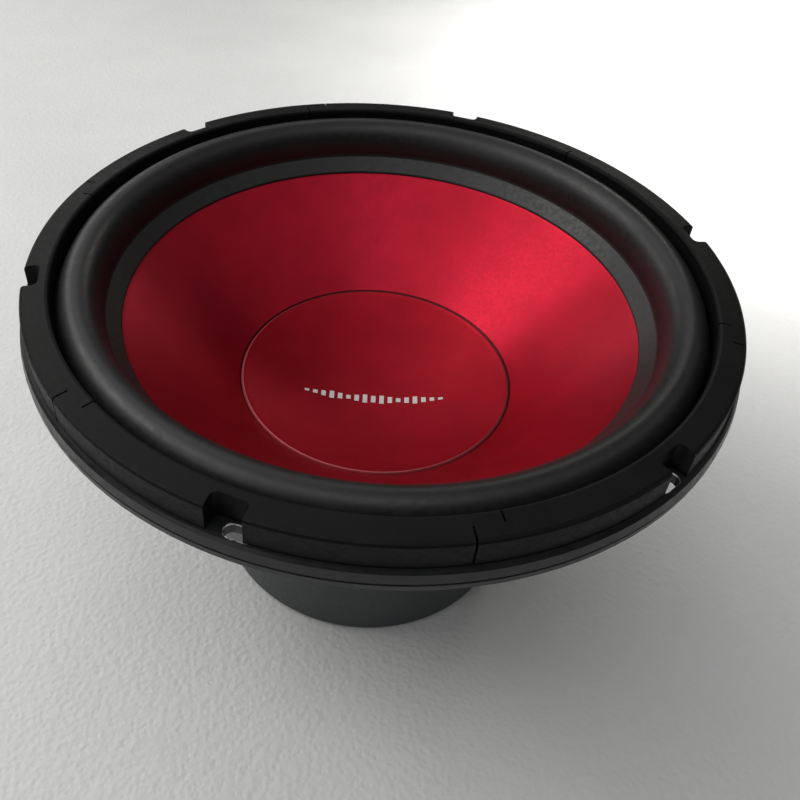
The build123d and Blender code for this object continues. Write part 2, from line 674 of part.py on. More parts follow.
def make_parts():
    """Every node by its name, in place."""
    coil_r = FORMER_R + FORMER_T
    coil_bottom = WINDING_MID_Z - WINDING_LENGTH / 2
    coil_top = WINDING_MID_Z + WINDING_LENGTH / 2
    shorting_r = POLE_R + SHORTING_PLAY
    shorting_bottom = BACK_PLATE_TOP_Z + SHORTING_PLAY
    at_terminal = Rot(0, 0, TERMINAL_AZIMUTH)
    nodes = {
        "basket": make_basket(),
        "surround": make_surround(),
        "cone": make_cone(),
        "dust_cap": make_dust_cap(),
        "voice_coil_former": ring(FORMER_R, coil_r, FORMER_BOTTOM_Z, FORMER_TOP_Z),
        "voice_coil_winding": ring(coil_r, coil_r + WINDING_T, coil_bottom, coil_top),
        "former_collar": ring(coil_r, coil_r + COLLAR_T, COLLAR_BOTTOM_Z, COLLAR_TOP_Z),
        "lead_eyelets": at_terminal * make_eyelets(),
        "spider": make_spider(),
        "top_plate": make_top_plate(),
        "magnet_upper": ring(MAGNET_BORE_R, MAGNET_R, MAGNET_SPLIT_Z, TOP_PLATE_BOTTOM_Z),
        "magnet_lower": ring(MAGNET_BORE_R, MAGNET_R, BACK_PLATE_TOP_Z, MAGNET_SPLIT_Z),
        "yoke": make_yoke(),
        "shorting_ring": ring(shorting_r, SHORTING_R, shorting_bottom, shorting_bottom + SHORTING_H),
        "vent_screen": make_vent_screen(),
        "magnet_boot": make_boot(),
        "base_screws": make_base_screws(),
        "terminal_block": at_terminal * make_terminal_block(),
        "terminal_rivets": at_terminal * make_terminal_rivets(),
    }
    for i in range(SLOT_COUNT):
        nodes[f"gasket_segment_{i + 1}"] = make_gasket_segment(i)
    for name, side in (("pos", -1), ("neg", 1)):
        nodes[f"terminal_button_{name}"] = at_terminal * make_terminal_button(side)
        nodes[f"terminal_spring_{name}"] = at_terminal * make_terminal_spring(side)
        nodes[f"terminal_contact_{name}"] = at_terminal * make_terminal_contact(side)
        nodes[f"tinsel_lead_{name}"] = at_terminal * make_tinsel_lead(side)
    return nodes


os.makedirs("parts", exist_ok=True)
for node_name, solid in make_parts().items():
    export_step(solid, f"parts/{node_name}.step")
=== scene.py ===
import json
import math

import bmesh
import bpy
import numpy as np
from mathutils import Matrix, Vector


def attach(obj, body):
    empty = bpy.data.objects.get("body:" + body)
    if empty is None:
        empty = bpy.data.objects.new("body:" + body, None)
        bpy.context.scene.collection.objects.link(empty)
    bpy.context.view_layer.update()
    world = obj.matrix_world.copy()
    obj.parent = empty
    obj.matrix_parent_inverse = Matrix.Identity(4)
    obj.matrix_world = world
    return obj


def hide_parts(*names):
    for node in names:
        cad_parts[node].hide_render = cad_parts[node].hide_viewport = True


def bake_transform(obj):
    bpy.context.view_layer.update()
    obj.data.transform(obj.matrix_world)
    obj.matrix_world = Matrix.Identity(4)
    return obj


# Looks for the 12-inch subwoofer. Shapes are given in millimetres and made in metres.
MM = 0.001

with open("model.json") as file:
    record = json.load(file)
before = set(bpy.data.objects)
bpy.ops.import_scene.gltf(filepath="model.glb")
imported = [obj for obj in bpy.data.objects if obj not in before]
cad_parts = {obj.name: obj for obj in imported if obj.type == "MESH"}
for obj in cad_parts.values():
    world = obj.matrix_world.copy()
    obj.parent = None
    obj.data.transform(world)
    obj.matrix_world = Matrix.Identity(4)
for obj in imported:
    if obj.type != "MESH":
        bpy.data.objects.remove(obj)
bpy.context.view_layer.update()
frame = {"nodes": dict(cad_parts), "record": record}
nodes = frame["nodes"]

FRAME_BODY = "frame_and_motor"
CONE_BODY = "cone_assembly"
SLOT_PHASE = 13.3
SLOT_PITCH = 60.0
SLOT_R = 151.9
SLOT_LENGTH = 12.0
SLOT_W = 6.2
SLOT_ABOVE_Z = 163.3
TERMINAL_AZIMUTH = 103.3
BUTTON_Y = 7.0
BUTTON_Z = 80.5


# ---------------------------------------------------------------- materials

class Shade:
    """A material under construction, with short names for the nodes it needs."""

    def __init__(self, name, colour, roughness, metallic=0.0):
        self.material = bpy.data.materials.new(name)
        self.material.use_nodes = True
        self.tree = self.material.node_tree
        self.bsdf = self.tree.nodes["Principled BSDF"]
        self.set("Base Color", (*colour, 1.0))
        self.set("Roughness", roughness)
        self.set("Metallic", metallic)
        self.coords = self.tree.nodes.new("ShaderNodeTexCoord").outputs["Object"]
        self.height = None

    def set(self, socket, value):
        self.bsdf.inputs[socket].default_value = value

    def link(self, output, socket):
        self.tree.links.new(output, socket)

    def feed(self, node, index, value):
        if hasattr(value, "is_linked"):
            self.link(value, node.inputs[index])
        else:
            node.inputs[index].default_value = value

    def math(self, operation, a, b=0.0, c=0.0):
        node = self.tree.nodes.new("ShaderNodeMath")
        node.operation = operation
        for index, value in enumerate((a, b, c)):
            self.feed(node, index, value)
        return node.outputs[0]

    def noise(self, size_mm, detail=3.0, roughness=0.55, stretch=(1, 1, 1), coords=None):
        """Noise with features of about this size."""
        scaled = self.tree.nodes.new("ShaderNodeMapping")
        scaled.inputs["Scale"].default_value = stretch
        self.link(coords or self.coords, scaled.inputs["Vector"])
        node = self.tree.nodes.new("ShaderNodeTexNoise")
        node.inputs["Scale"].default_value = 1000.0 / size_mm
        node.inputs["Detail"].default_value = detail
        node.inputs["Roughness"].default_value = roughness
        self.link(scaled.outputs[0], node.inputs["Vector"])
        return node.outputs["Fac"]

    def cells(self, size_mm, feature="F1"):
        node = self.tree.nodes.new("ShaderNodeTexVoronoi")
        node.feature = feature
        node.inputs["Scale"].default_value = 1000.0 / size_mm
        self.link(self.coords, node.inputs["Vector"])
        return node.outputs["Distance"]

    def ramp(self, value, low, high, out_low=0.0, out_high=1.0):
        """Value between low and high, spread smoothly over out_low to out_high."""
        node = self.tree.nodes.new("ShaderNodeMapRange")
        node.interpolation_type = "SMOOTHSTEP"
        for index, number in enumerate((low, high, out_low, out_high), start=1):
            node.inputs[index].default_value = number
        self.link(value, node.inputs[0])
        return node.outputs[0]

    def mix_colour(self, share, a, b):
        node = self.tree.nodes.new("ShaderNodeMix")
        node.data_type = "RGBA"
        self.link(share, node.inputs[0])
        for index, value in ((6, a), (7, b)):
            if hasattr(value, "is_linked"):
                self.link(value, node.inputs[index])
            else:
                node.inputs[index].default_value = (*value, 1.0)
        return node.outputs[2]

    def paint(self, output):
        self.link(output, self.bsdf.inputs["Base Color"])

    def rough(self, output):
        self.link(output, self.bsdf.inputs["Roughness"])

    def bump(self, height, depth_mm, strength=1.0):
        """Adds a bump; each further one sits on the last."""
        node = self.tree.nodes.new("ShaderNodeBump")
        node.inputs["Distance"].default_value = depth_mm * MM
        node.inputs["Strength"].default_value = strength
        self.link(height, node.inputs["Height"])
        if self.height is not None:
            self.link(self.height, node.inputs["Normal"])
        self.height = node.outputs["Normal"]
        self.link(self.height, self.bsdf.inputs["Normal"])

    def cylinder_coords(self):
        """Radius in metres, azimuth in radians and height, from the object's own coordinates."""
        parts = self.tree.nodes.new("ShaderNodeSeparateXYZ")
        self.link(self.coords, parts.inputs[0])
        x, y, z = parts.outputs
        squares = self.math("ADD", self.math("MULTIPLY", x, x), self.math("MULTIPLY", y, y))
        return self.math("SQRT", squares), self.math("ARCTAN2", y, x), z


def rubber(name, colour, roughness, grain_mm=0.35, mottle=0.25, dust=0.0, gloss=0.5):
    """Moulded rubber: soft mottling, fine grain, an uneven sheen and a little dust."""
    shade = Shade(name, colour, roughness)
    large = shade.noise(26.0, 4.0)
    small = shade.noise(2.2, 3.0)
    dark = tuple(c * (1 - mottle) for c in colour)
    light = tuple(c * (1 + mottle) for c in colour)
    tint = shade.mix_colour(shade.ramp(large, 0.3, 0.7), dark, light)
    if dust:
        specks = shade.ramp(shade.noise(0.9, 2.0), 0.66, 0.78, 0.0, dust)
        tint = shade.mix_colour(specks, tint, tuple(c * 5 + 0.03 for c in colour))
    shade.paint(tint)
    shade.rough(shade.ramp(small, 0.25, 0.75, roughness - 0.07, roughness + 0.08))
    shade.bump(shade.noise(grain_mm, 2.0), 0.012)
    shade.bump(shade.noise(6.0, 2.0), 0.05, 0.5)
    shade.set("Specular IOR Level", gloss)
    return shade


def painted_steel(name, colour, roughness):
    """Thin satin paint on a stamping, with orange peel and light scuffs."""
    shade = Shade(name, colour, roughness)
    cloud = shade.ramp(shade.noise(30.0, 4.0), 0.3, 0.7)
    shade.paint(shade.mix_colour(cloud, tuple(c * 0.8 for c in colour), tuple(c * 1.25 for c in colour)))
    shade.rough(shade.ramp(shade.noise(4.0, 3.0), 0.3, 0.7, roughness - 0.06, roughness + 0.08))
    shade.bump(shade.noise(0.8, 2.0), 0.008)
    return shade


def bare_metal(name, colour, roughness, line_mm=0.4):
    """Bare or plated metal with turning lines that run round the axis."""
    shade = Shade(name, colour, roughness, 1.0)
    radius, _, height = shade.cylinder_coords()
    rings = shade.tree.nodes.new("ShaderNodeCombineXYZ")
    shade.link(radius, rings.inputs[0])
    shade.link(height, rings.inputs[1])
    lines = shade.noise(line_mm, 2.0, coords=rings.outputs[0])
    stain = shade.ramp(shade.noise(9.0, 4.0), 0.35, 0.7)
    shade.paint(shade.mix_colour(stain, colour, tuple(c * 0.72 for c in colour)))
    shade.rough(shade.ramp(lines, 0.3, 0.7, roughness - 0.08, roughness + 0.12))
    shade.bump(lines, 0.01)
    return shade


def cone_paint(name, colour, roughness, painted_light_ring):
    """Satin metallic red: fine flakes under a thin clear coat.

    The last argument is a line of painted light round the axis, a painted shadow on the cone and a painted
    highlight on the cap: its inner and outer radius in millimetres, and its colour.
    """
    shade = Shade(name, colour, roughness, 0.9)
    flakes = shade.cells(0.22)
    cloud = shade.ramp(shade.noise(18.0, 3.0), 0.3, 0.7)
    base = shade.mix_colour(cloud, tuple(c * 0.93 for c in colour), tuple(c * 1.07 for c in colour))
    sparkle = shade.ramp(flakes, 0.05, 0.6, 0.14, 0.0)
    bright = (min(1.0, colour[0] * 1.5), colour[1] * 3 + 0.02, colour[2] * 2.5 + 0.02)
    # The line round the axis is painted into the colour: a painted shadow on the cone, a painted highlight
    # on the cap.
    inner_r, outer_r, tint = painted_light_ring
    radius, _, _ = shade.cylinder_coords()
    soft = 0.12
    inside = shade.ramp(radius, (inner_r - soft) * MM, inner_r * MM)
    outside = shade.ramp(radius, outer_r * MM, (outer_r + soft) * MM, 1.0, 0.0)
    on_ring = shade.math("MULTIPLY", inside, outside)
    shade.paint(shade.mix_colour(on_ring, shade.mix_colour(sparkle, base, bright), tint))
    shade.rough(shade.ramp(shade.noise(1.6, 2.0), 0.3, 0.7, roughness - 0.03, roughness + 0.04))
    shade.bump(shade.noise(0.3, 2.0), 0.006)
    shade.set("Coat Weight", 0.06)
    shade.set("Coat Roughness", 0.35)
    return shade


def paper_fibre(name, colour, roughness=0.85):
    """Pressed fibre for the back of the cone and the former's collar."""
    shade = Shade(name, colour, roughness)
    fibres = shade.noise(1.4, 5.0, 0.7)
    cover = shade.ramp(fibres, 0.3, 0.7)
    shade.paint(shade.mix_colour(cover, tuple(c * 0.7 for c in colour), tuple(c * 1.3 for c in colour)))
    shade.bump(fibres, 0.06)
    return shade


def woven_cloth(name, colour):
    """Resin-dipped cotton, woven square."""
    shade = Shade(name, colour, 0.62)
    parts = shade.tree.nodes.new("ShaderNodeSeparateXYZ")
    shade.link(shade.coords, parts.inputs[0])
    pitch = 0.55 * MM
    turns = 2 * math.pi / pitch
    waves = [shade.math("SINE", shade.math("MULTIPLY", parts.outputs[i], turns)) for i in (0, 1)]
    weave = shade.math("MULTIPLY", waves[0], waves[1])
    cloud = shade.ramp(shade.noise(12.0, 4.0), 0.3, 0.7)
    base = shade.mix_colour(cloud, tuple(c * 0.8 for c in colour), tuple(c * 1.15 for c in colour))
    gaps = shade.ramp(weave, -1.0, 1.0, 0.0, 0.45)
    shade.paint(shade.mix_colour(gaps, base, tuple(c * 0.35 for c in colour)))
    shade.bump(weave, 0.08)
    shade.set("Sheen Weight", 0.15)
    return shade


def moulded_plastic(name, colour, roughness, coat=0.0):
    """Injection-moulded plastic with a fine spark-eroded grain."""
    shade = Shade(name, colour, roughness)
    cloud = shade.ramp(shade.noise(14.0, 3.0), 0.3, 0.7)
    shade.paint(shade.mix_colour(cloud, tuple(c * 0.9 for c in colour), tuple(c * 1.1 for c in colour)))
    shade.rough(shade.ramp(shade.noise(1.2, 2.0), 0.3, 0.7, roughness - 0.05, roughness + 0.07))
    shade.bump(shade.cells(0.35), 0.012)
    if coat:
        shade.set("Coat Weight", coat)
        shade.set("Coat Roughness", 0.1)
    return shade


def basket_paint():
    """Black satin paint that is worn to bare steel on the edges of the screw slots."""
    shade = painted_steel("basket_paint", (0.012, 0.0125, 0.013), 0.36)
    radius, azimuth, height = shade.cylinder_coords()
    pitch = math.radians(SLOT_PITCH)
    turned = shade.math("SUBTRACT", azimuth, math.radians(SLOT_PHASE) - pitch / 2)
    local = shade.math("SUBTRACT", shade.math("FLOORED_MODULO", turned, pitch), pitch / 2)
    across = shade.math("SUBTRACT", radius, SLOT_R * MM)
    half_run = (SLOT_LENGTH - SLOT_W) / 2 * MM
    along = shade.math("ABSOLUTE", shade.math("MULTIPLY", local, radius))
    along = shade.math("MAXIMUM", shade.math("SUBTRACT", along, half_run), 0.0)
    squares = shade.math("ADD", shade.math("MULTIPLY", along, along), shade.math("MULTIPLY", across, across))
    from_edge = shade.math("SUBTRACT", shade.math("SQRT", squares), SLOT_W / 2 * MM)
    ragged = shade.math("MULTIPLY_ADD", shade.noise(1.6, 3.0), 1.5 * MM, from_edge)
    near_slot = shade.ramp(ragged, 0.75 * MM, 1.05 * MM, 1.0, 0.0)
    on_rim = shade.math("GREATER_THAN", height, SLOT_ABOVE_Z * MM)
    worn = shade.math("MULTIPLY", near_slot, on_rim)
    painted = shade.bsdf.inputs["Base Color"].links[0].from_socket
    shade.paint(shade.mix_colour(worn, painted, (0.62, 0.63, 0.64)))
    shade.link(worn, shade.bsdf.inputs["Metallic"])
    return shade


def table_top():
    """A pale sheet with a fine pebbled emboss."""
    colour = (0.92, 0.92, 0.915)
    shade = Shade("table_top", colour, 0.62)
    pebbles = shade.cells(2.6, "SMOOTH_F1")
    lumps = shade.noise(5.0, 3.0)
    shade.bump(pebbles, 0.55, 0.9)
    shade.bump(lumps, 0.6, 0.8)
    cloud = shade.ramp(shade.noise(160.0, 4.0), 0.3, 0.7)
    shade.paint(shade.mix_colour(cloud, tuple(c * 0.97 for c in colour), tuple(c * 1.03 for c in colour)))
    shade.rough(shade.ramp(lumps, 0.3, 0.7, 0.55, 0.7))
    return shade


def ink(name, colour):
    """Screen-printed ink, slightly uneven."""
    shade = Shade(name, colour, 0.5)
    cover = shade.ramp(shade.noise(0.5, 3.0), 0.25, 0.55)
    shade.paint(shade.mix_colour(cover, tuple(c * 0.75 for c in colour), colour))
    return shade


RED = (0.40, 0.006, 0.022)
CAP_RED = (0.40, 0.006, 0.018)
CAP_SHADOW_PAINTED_LINE = (66.2, 67.0, (0.05, 0.002, 0.004))      # painted shadow: a dark line on the cone just outside the cap, where the cap's rim shades it
CAP_LIP_PAINTED_HIGHLIGHT = (65.3, 66.0, (0.42, 0.10, 0.11))    # painted highlight: a lighter line round the cap's lip
paints = {
    "basket_paint": basket_paint(),
    "gasket_rubber": rubber("gasket_rubber", (0.0055, 0.006, 0.0058), 0.5, 0.5, 0.2, 0.1, 0.15),
    "surround_rubber": rubber("surround_rubber", (0.011, 0.011, 0.0115), 0.42, 0.3, 0.12),
    "cone_red": cone_paint("cone_red", RED, 0.4, CAP_SHADOW_PAINTED_LINE),
    "cone_back": paper_fibre("cone_back", (0.03, 0.028, 0.028)),
    "cap_red": cone_paint("cap_red", CAP_RED, 0.5, CAP_LIP_PAINTED_HIGHLIGHT),
    "former_foil": bare_metal("former_foil", (0.75, 0.75, 0.76), 0.35),
    "coil_copper": bare_metal("coil_copper", (0.72, 0.28, 0.12), 0.28, 0.3),
    "collar_paper": paper_fibre("collar_paper", (0.38, 0.26, 0.14)),
    "spider_cloth": woven_cloth("spider_cloth", (0.52, 0.36, 0.13)),
    "plate_steel": bare_metal("plate_steel", (0.42, 0.43, 0.44), 0.4, 0.8),
    "magnet_ferrite": paper_fibre("magnet_ferrite", (0.03, 0.03, 0.032), 0.6),
    "ring_aluminium": bare_metal("ring_aluminium", (0.78, 0.79, 0.8), 0.3),
    "screen_steel": painted_steel("screen_steel", (0.02, 0.02, 0.02), 0.45),
    "boot_rubber": rubber("boot_rubber", (0.055, 0.062, 0.065), 0.45, 0.5, 0.12),
    "screw_zinc": bare_metal("screw_zinc", (0.55, 0.56, 0.58), 0.3),
    "terminal_plastic": moulded_plastic("terminal_plastic", (0.018, 0.018, 0.019), 0.5),
    "button_red": moulded_plastic("button_red", (0.5, 0.012, 0.01), 0.32, 0.3),
    "button_black": moulded_plastic("button_black", (0.014, 0.014, 0.015), 0.32, 0.3),
    "spring_steel": bare_metal("spring_steel", (0.6, 0.6, 0.62), 0.25),
    "contact_brass": bare_metal("contact_brass", (0.8, 0.58, 0.25), 0.3),
    "rivet_steel": bare_metal("rivet_steel", (0.6, 0.6, 0.61), 0.35),
    "lead_braid": bare_metal("lead_braid", (0.7, 0.42, 0.24), 0.35),
    "eyelet_brass": bare_metal("eyelet_brass", (0.8, 0.58, 0.25), 0.3),
    "print_ink": ink("print_ink", (0.72, 0.7, 0.7)),
}


# ---------------------------------------------------------------- mesh helpers

def new_piece(name, verts, faces, materials):
    """A smooth-shaded mesh object from points in millimetres."""
    mesh = bpy.data.meshes.new(name)
    mesh.from_pydata([tuple(c * MM for c in v) for v in verts], [], faces)
    for material in materials:
        mesh.materials.append(paints[material].material)
    obj = bpy.data.objects.new(name, mesh)
    bpy.context.scene.collection.objects.link(obj)
    mesh.polygons.foreach_set("use_smooth", [True] * len(mesh.polygons))
    return obj


def weld(mesh):
    """Joins points that coincide and turns every face outwards."""
    bm = bmesh.new()
    bm.from_mesh(mesh)
    bmesh.ops.remove_doubles(bm, verts=bm.verts, dist=1e-7)
    bmesh.ops.recalc_face_normals(bm, faces=bm.faces)
    bm.to_mesh(mesh)
    bm.free()


def arc_points(centre, radius_r, radius_z, start, end, count):
    """Points on an elliptical arc of a section, by angle in degrees."""
    angles = np.radians(np.linspace(start, end, count))
    return [(centre[0] + radius_r * math.cos(a), centre[1] + radius_z * math.sin(a)) for a in angles]


def softened(points, radii, steps=4):
    """The outline with each corner rounded by its own radius; 0 leaves it sharp."""
    out = []
    count = len(points)
    for i, (corner, radius) in enumerate(zip(points, radii)):
        before, here, after = Vector(points[i - 1]), Vector(corner), Vector(points[(i + 1) % count])
        if not radius:
            out.append(tuple(here))
            continue
        one, two = (before - here).normalized(), (after - here).normalized()
        half = one.angle(two) / 2
        back = min(radius / math.tan(half), 0.45 * (before - here).length, 0.45 * (after - here).length)
        for step in range(steps + 1):
            t = step / steps
            first, last = here + one * back, here + two * back
            point = (1 - t) ** 2 * first + 2 * t * (1 - t) * here + t ** 2 * last
            out.append(tuple(point))
    return out


def lathe(name, outline, materials, segments=256, pick=None):
    """Turns a closed (radius, height) outline about Z.

    pick gives the material number of the side between two outline points; without it all are 0.
    """
    count = len(outline)
    verts, faces, numbers = [], [], []
    for j in range(segments):
        a = 2 * math.pi * j / segments
        verts += [(r * math.cos(a), r * math.sin(a), z) for r, z in outline]
    for j in range(segments):
        near, far = j * count, (j + 1) % segments * count
        for i in range(count):
            k = (i + 1) % count
            faces.append((near + i, far + i, far + k, near + k))
            numbers.append(pick(i, k) if pick else 0)
    obj = new_piece(name, verts, faces, materials)
    obj.data.polygons.foreach_set("material_index", numbers)
    weld(obj.data)
    return obj


def sharpen(obj, degrees=35.0):
    """Keeps hard edges hard in a smooth-shaded mesh."""
    obj.data.set_sharp_from_angle(angle=math.radians(degrees))


def blend_by(obj):
    """Bakes the object's placement into its mesh points."""
    start, end = Vector((0, 0, 0)), Vector((0, 0, 1))
    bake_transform(obj)
    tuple(start)
    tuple(end)


# ---------------------------------------------------------------- cone and cap

CONE_BEND_R, CONE_BEND_Z = 117.0, 151.0
CONE_SLOPE, CONE_EDGE_SLOPE = 0.88, 1.053
CONE_EDGE_R = 124.5
CONE_WALL, CONE_EDGE_WALL = 1.33, 1.45
NECK_R, NECK_Z = 31.5, 73.6
NECK_STEP = 1.0


def cone_z(radius):
    """Height of the cone's front face."""
    slope = CONE_SLOPE if radius <= CONE_BEND_R else CONE_EDGE_SLOPE
    return CONE_BEND_Z + slope * (radius - CONE_BEND_R)


def make_cone():
    edge_z = cone_z(CONE_EDGE_R)
    radii = np.linspace(NECK_R + NECK_STEP, CONE_BEND_R, 60)
    front = [(NECK_R, cone_z(NECK_R))] + [(r, cone_z(r)) for r in radii] + [(CONE_EDGE_R, edge_z)]
    back = [(r, cone_z(r) - CONE_WALL) for r in radii] + [(CONE_EDGE_R, edge_z - CONE_EDGE_WALL)]
    outline = front + back[::-1] + [(NECK_R + NECK_STEP, NECK_Z), (NECK_R, NECK_Z)]
    last_front = len(front) - 1

    def pick(i, k):
        return 0 if i < last_front else 1

    cone = lathe("cone_red_skin", outline, ("cone_red", "cone_back"), 320, pick)
    sharpen(cone, 40)
    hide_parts("cone")
    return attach(cone, CONE_BODY)


CAP_CREST_R, CAP_CREST_Z, CAP_DEPTH = 65.3, 107.0, 15.0
CAP_SPHERE = (CAP_CREST_R ** 2 + CAP_DEPTH ** 2) / (2 * CAP_DEPTH)
CAP_SEAT_OUTER_R, CAP_SEAT_INNER_R = 66.25, 64.8
CAP_GLUE_GAP = 0.05
CAP_T, CAP_EXTRA_T = 0.9, 1.0       # at the middle, and added by the seat
CAP_BACK_R = 63.5


def cap_z(radius):
    """Height of the dished face."""
    return CAP_CREST_Z - CAP_DEPTH + CAP_SPHERE - math.sqrt(CAP_SPHERE ** 2 - radius ** 2)


def make_cap():
    radii = np.linspace(0, CAP_CREST_R - 0.7, 48)
    face = [(r, cap_z(r)) for r in radii]
    lip = arc_points((CAP_CREST_R - 0.05, CAP_CREST_Z - 0.5), 0.6, 0.5, 125, -10, 9)
    seat = [(r, cone_z(r) + CAP_GLUE_GAP) for r in (CAP_SEAT_OUTER_R, CAP_SEAT_INNER_R)]
    inner = [r for r in radii[::-1] if r < CAP_BACK_R]
    back = [(r, cap_z(r) - CAP_T - CAP_EXTRA_T * (r / CAP_SEAT_INNER_R) ** 2) for r in inner]
    cap = lathe("dished_cap", face + lip + seat + back, ("cap_red",), 256)
    sharpen(cap, 50)
    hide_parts("dust_cap")
    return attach(cap, CONE_BODY)


def print_bars(name, bars, place, body):
    """A generic row of printed bars. place turns (across, up) into a point on the surface."""
    verts, faces = [], []
    steps = 5
    for centre, width, height in bars:
        base = len(verts)
        for i in range(steps + 1):
            up = -height / 2 + height * i / steps
            verts += [place(centre - width / 2, up), place(centre + width / 2, up)]
        faces += [(base + 2 * i, base + 2 * i + 1, base + 2 * i + 3, base + 2 * i + 2) for i in range(steps)]
    piece = new_piece(name, verts, faces, ("print_ink",))
    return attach(piece, body)


CAP_MARK_Y = -4.5
MARK_LIFT = 0.06
BOOT_MARK_R, BOOT_MARK_TURN_R = 78.95, 78.9
BOOT_MARK_Z = 40.0


def make_marks():
    heights = [1.6, 2.4, 3.6, 5.2, 4.0, 2.8, 4.4, 6.0, 4.8, 6.0, 4.4, 2.8, 4.0, 5.2, 3.6, 2.4, 1.6]
    pitch = 4.2
    bars = [((i - (len(heights) - 1) / 2) * pitch, 2.3, h) for i, h in enumerate(heights)]

    def on_cap(across, up):
        y = up + CAP_MARK_Y
        return across, y, cap_z(math.hypot(across, y)) + MARK_LIFT

    def on_boot(across, up):
        angle = math.radians(-90) + across / BOOT_MARK_TURN_R
        return BOOT_MARK_R * math.cos(angle), BOOT_MARK_R * math.sin(angle), BOOT_MARK_Z + up

    print_bars("cap_mark", bars, on_cap, CONE_BODY)
    print_bars("boot_mark", [(b[0] * 0.6, 1.4, b[2] * 0.9) for b in bars], on_boot, FRAME_BODY)


# ---------------------------------------------------------------- surround and spider

ROLL_MID_R, ROLL_FOOT_Z = 133.6, 160.0
ROLL_TOP = (10.15, 16.0)        # half width and height of the roll's outer face
ROLL_UNDER = (8.85, 14.7)       # and of its inner face


def make_surround():
    middle = (ROLL_MID_R, ROLL_FOOT_Z)
    top = arc_points(middle, *ROLL_TOP, 178, 22, 64)
    under = arc_points(middle, *ROLL_UNDER, 20, 180, 56)
    lip_corners = [(143.3, 165.7), (144.4, 165.2), (147.3, 165.2), (147.3, 164.0), (142.4, 164.0)]
    lip = softened(lip_corners, (0, 0.6, 0.2, 0.2, 0))
    land_corners = [
        (ROLL_MID_R - ROLL_UNDER[0], 158.6),
        (117.05, 151.45),
        (116.9, 152.0),
        (117.25, 152.65),
        (122.9, 158.75),
        (123.45, 160.0),
    ]
    land = softened(land_corners, (0, 0.1, 0.2, 0.35, 0.8, 0))
    outline = top + lip + under + land
    surround = lathe("rubber_surround", outline, ("surround_rubber",), 320)
    sharpen(surround, 60)
    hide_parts("surround")
    blend_by(surround)
    return surround


SPIDER_T = 0.6
SPIDER_HALF_WAVE = 3.6


def make_spider():
    mid_z = 70.7
    wave_in, wave_out, height = 37.6, 73.6, 2.0
    radii = np.linspace(wave_in, wave_out, 120)

    def centre_z(r):
        fade = min(1.0, (r - wave_in) / 2.0, (wave_out - r) / 2.0)
        return mid_z + height * fade * math.sin(math.pi * (r - wave_in) / SPIDER_HALF_WAVE)

    collar = [(32.0, 73.2), (32.7, 73.2), (32.9, 71.0)]
    top = collar + [(r, centre_z(r) + SPIDER_T / 2) for r in radii] + [(87.0, 71.0)]
    under = [(87.0, 70.42)] + [(r, centre_z(r) - SPIDER_T / 2) for r in radii[::-1]] + [(32.0, 70.4)]
    spider = lathe("cloth_spider", top + under, ("spider_cloth",), 256)
    sharpen(spider, 60)
    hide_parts("spider")
    blend_by(spider)
    return spider


# ---------------------------------------------------------------- terminal details

def at_terminal(point):
    """A point in the terminal block's frame, turned to where the block stands."""
    a = math.radians(TERMINAL_AZIMUTH)
    x, y, z = point
    return x * math.cos(a) - y * math.sin(a), x * math.sin(a) + y * math.cos(a), z


def tube_along(name, route, radius, materials, sides=12, steps_per_span=16):
    """A round tube along a smooth curve with these control points."""
    curve = bpy.data.curves.new(name + "_line", "CURVE")
    curve.dimensions = "3D"
    curve.resolution_u = steps_per_span
    spline = curve.splines.new("NURBS")
    spline.points.add(len(route) - 1)
    for point, place in zip(spline.points, route):
        point.co = (*[c * MM for c in place], 1.0)
    spline.order_u = 3
    spline.use_endpoint_u = True
    curve.bevel_depth = radius * MM
    curve.bevel_resolution = sides // 4
    curve.use_fill_caps = True
    carrier = bpy.data.objects.new(name + "_line", curve)
    bpy.context.scene.collection.objects.link(carrier)
    bpy.context.view_layer.update()
    mesh = bpy.data.meshes.new_from_object(carrier.evaluated_get(bpy.context.evaluated_depsgraph_get()))
    bpy.data.objects.remove(carrier)
    bpy.data.curves.remove(curve)
    mesh.name = name
    mesh.materials.clear()
    for material in materials:
        mesh.materials.append(paints[material].material)
    obj = bpy.data.objects.new(name, mesh)
    bpy.context.scene.collection.objects.link(obj)
    mesh.polygons.foreach_set("use_smooth", [True] * len(mesh.polygons))
    weld(mesh)
    return obj


LEAD_R = 0.9
LEAD_ROUTE = [
    (86.9, 84.4),
    (80.5, 84.2),
    (73.5, 81.4),
    (66.0, 79.8),
    (58.6, 80.6),
    (53.6, 85.0),
    (52.2, 91.04),
]


def make_leads():
    for side, name in ((-1, "pos"), (1, "neg")):
        route = [at_terminal((x, side * BUTTON_Y, z)) for x, z in LEAD_ROUTE]
        lead = tube_along(f"lead_{name}", route, LEAD_R, ("lead_braid",))
        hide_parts(f"tinsel_lead_{name}")
        blend_by(lead)


SPRING_WIRE_R = 0.25
SPRING_END_INSET = 0.3


def make_springs():
    start, end, turns, coil_r = 92.35, 97.95, 4.5, 2.2
    count = 120
    run = end - start - 2 * SPRING_END_INSET
    for side, name in ((-1, "pos"), (1, "neg")):
        route = []
        for i in range(count + 1):
            t = i / count
            angle = 2 * math.pi * turns * t
            x = start + SPRING_END_INSET + run * t
            spot = (x, side * BUTTON_Y + coil_r * math.cos(angle), BUTTON_Z + coil_r * math.sin(angle))
            route.append(at_terminal(spot))
        spring = tube_along(f"button_spring_{name}", route, SPRING_WIRE_R, ("spring_steel",), 8, 2)
        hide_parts(f"terminal_spring_{name}")
        blend_by(spring)


# ---------------------------------------------------------------- carried-over CAD nodes

SOFT_EDGE_ANGLE = 28.0      # edges sharper than this are rounded, in degrees
SOFT_EDGES = {
    "gasket": 0.6,
    "magnet_boot": 0.5,
    "terminal_block": 0.25,
    "terminal_button": 0.3,
    "basket": 0.25,
}


